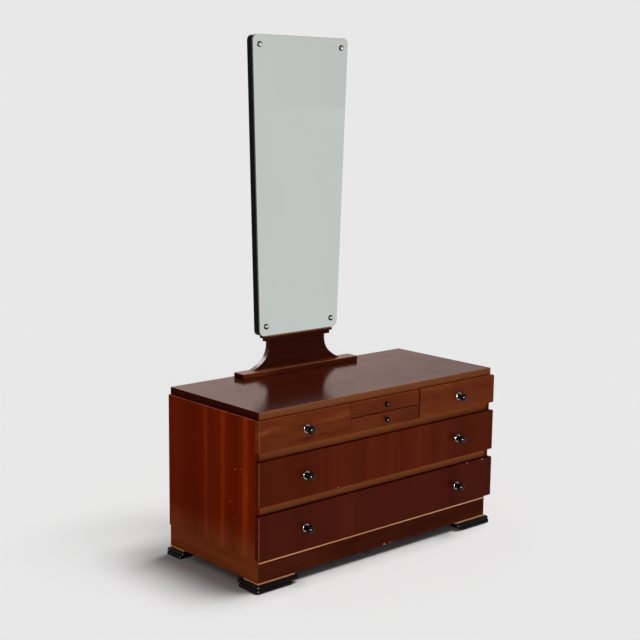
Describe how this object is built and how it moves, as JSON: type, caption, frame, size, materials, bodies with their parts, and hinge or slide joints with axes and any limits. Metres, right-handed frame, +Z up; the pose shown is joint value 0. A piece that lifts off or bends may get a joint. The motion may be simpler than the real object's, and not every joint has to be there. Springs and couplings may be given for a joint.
{
  "type": "dressing table with mirror",
  "caption": "Low mahogany chest of drawers on a plinth with black stepped feet, carrying a tall tapered frameless mirror on a flared stand.",
  "frame": {"origin": "on the floor, under the middle of the whole width and the whole depth, knobs and feet included", "axes": "+Z up; -Y is the front, where the drawers open; +X is the right hand of someone facing the drawers"},
  "size_m": [1.113, 0.518, 1.7449],
  "materials": {
    "mahogany": "red-brown mahogany veneer under polished lacquer, worn at the edges",
    "rail_wood": "lighter brown satin wood",
    "inlay_wood": "tan satin wood",
    "drawer_wood": "bare pale wood",
    "plywood": "bare plywood",
    "black_lacquer": "black gloss lacquer",
    "black_knob": "black gloss",
    "chrome": "polished chrome",
    "mirror_silver": "silvered glass"
  },
  "bodies": {
    "chest": {"side_panel_left": "mahogany", "side_panel_right": "mahogany", "top_panel": "mahogany", "bottom_board": "plywood", "back_panel": "plywood", "rail_lower": "rail_wood", "rail_upper": "rail_wood", "dust_board_lower": "plywood", "dust_board_upper": "plywood", "divider_left": "rail_wood", "divider_right": "rail_wood", "small_drawer_shelf": "rail_wood", "plinth_front": "mahogany", "plinth_left": "mahogany", "plinth_right": "mahogany", "plinth_back": "plywood", "plinth_inlay": "inlay_wood", "foot_front_left": "black_lacquer", "foot_front_right": "black_lacquer", "foot_back_left": "black_lacquer", "foot_back_right": "black_lacquer", "foot_spacer_front_left": "inlay_wood", "foot_spacer_front_right": "inlay_wood", "foot_spacer_back_left": "inlay_wood", "foot_spacer_back_right": "inlay_wood", "stand_base": "mahogany", "stand_neck": "mahogany", "stand_cap": "mahogany", "mirror_backing": "black_lacquer", "mirror_glass": "mirror_silver", "mirror_screw_lower_left": "chrome", "mirror_screw_lower_right": "chrome", "mirror_screw_upper_left": "chrome", "mirror_screw_upper_right": "chrome"},
    "bottom_drawer": {"drawer_front_bottom": "mahogany", "drawer_box_bottom": "drawer_wood", "knob_bottom_left": "black_knob", "knob_bottom_right": "black_knob", "knob_collar_bottom_left": "chrome", "knob_collar_bottom_right": "chrome"},
    "middle_drawer": {"drawer_front_middle": "mahogany", "drawer_box_middle": "drawer_wood", "knob_middle_left": "black_knob", "knob_middle_right": "black_knob", "knob_collar_middle_left": "chrome", "knob_collar_middle_right": "chrome"},
    "left_drawer": {"drawer_front_left": "mahogany", "drawer_box_left": "drawer_wood", "knob_left": "black_knob", "knob_collar_left": "chrome"},
    "right_drawer": {"drawer_front_right": "mahogany", "drawer_box_right": "drawer_wood", "knob_right": "black_knob", "knob_collar_right": "chrome"},
    "small_lower_drawer": {"drawer_front_small_lower": "mahogany", "drawer_box_small_lower": "drawer_wood", "knob_small_lower": "black_knob"},
    "small_upper_drawer": {"drawer_front_small_upper": "mahogany", "drawer_box_small_upper": "drawer_wood", "knob_small_upper": "black_knob"}
  },
  "joints": [
    {"name": "bottom_drawer_slide", "type": "slide", "parent": "chest", "child": "bottom_drawer", "axis": [0, -1, 0], "range_m": [0, 0.3]},
    {"name": "middle_drawer_slide", "type": "slide", "parent": "chest", "child": "middle_drawer", "axis": [0, -1, 0], "range_m": [0, 0.3]},
    {"name": "left_drawer_slide", "type": "slide", "parent": "chest", "child": "left_drawer", "axis": [0, -1, 0], "range_m": [0, 0.3]},
    {"name": "right_drawer_slide", "type": "slide", "parent": "chest", "child": "right_drawer", "axis": [0, -1, 0], "range_m": [0, 0.3]},
    {"name": "small_lower_drawer_slide", "type": "slide", "parent": "chest", "child": "small_lower_drawer", "axis": [0, -1, 0], "range_m": [0, 0.3]},
    {"name": "small_upper_drawer_slide", "type": "slide", "parent": "chest", "child": "small_upper_drawer", "axis": [0, -1, 0], "range_m": [0, 0.3]}
  ]
}
